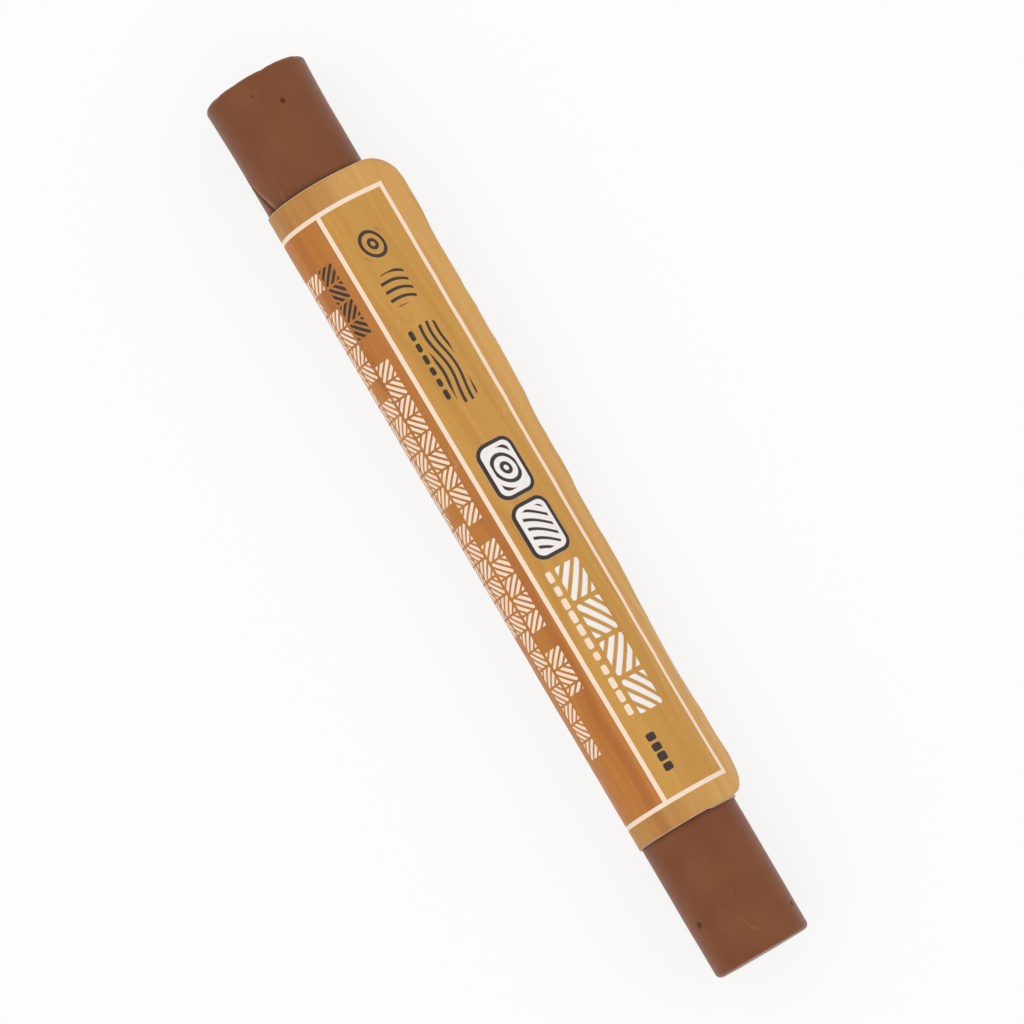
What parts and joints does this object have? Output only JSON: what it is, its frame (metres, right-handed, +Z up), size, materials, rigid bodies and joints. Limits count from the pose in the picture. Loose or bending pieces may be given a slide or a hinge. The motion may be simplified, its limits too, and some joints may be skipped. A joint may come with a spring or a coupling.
{
  "type": "furniture repair wax stick",
  "caption": "Cast stick of brown repair wax, wrapped in a printed wood-grain paper label whose free edge has come loose along one side.",
  "frame": {"origin": "middle of the flat pour face, on the stick's axis", "axes": "+X along the stick from the pour face to the closed mould end; +Y towards the label's loose free edge; +Z up, with the stick lying on its side"},
  "size_m": [0.1, 0.0127, 0.0113],
  "materials": {
    "wax": "satin cast wax",
    "label_paper": "satin printed paper",
    "adhesive": "dried acrylic film"
  },
  "bodies": {
    "root": {"wax_stick": "wax", "label": "label_paper", "label_adhesive": "adhesive"}
  },
  "joints": []
}
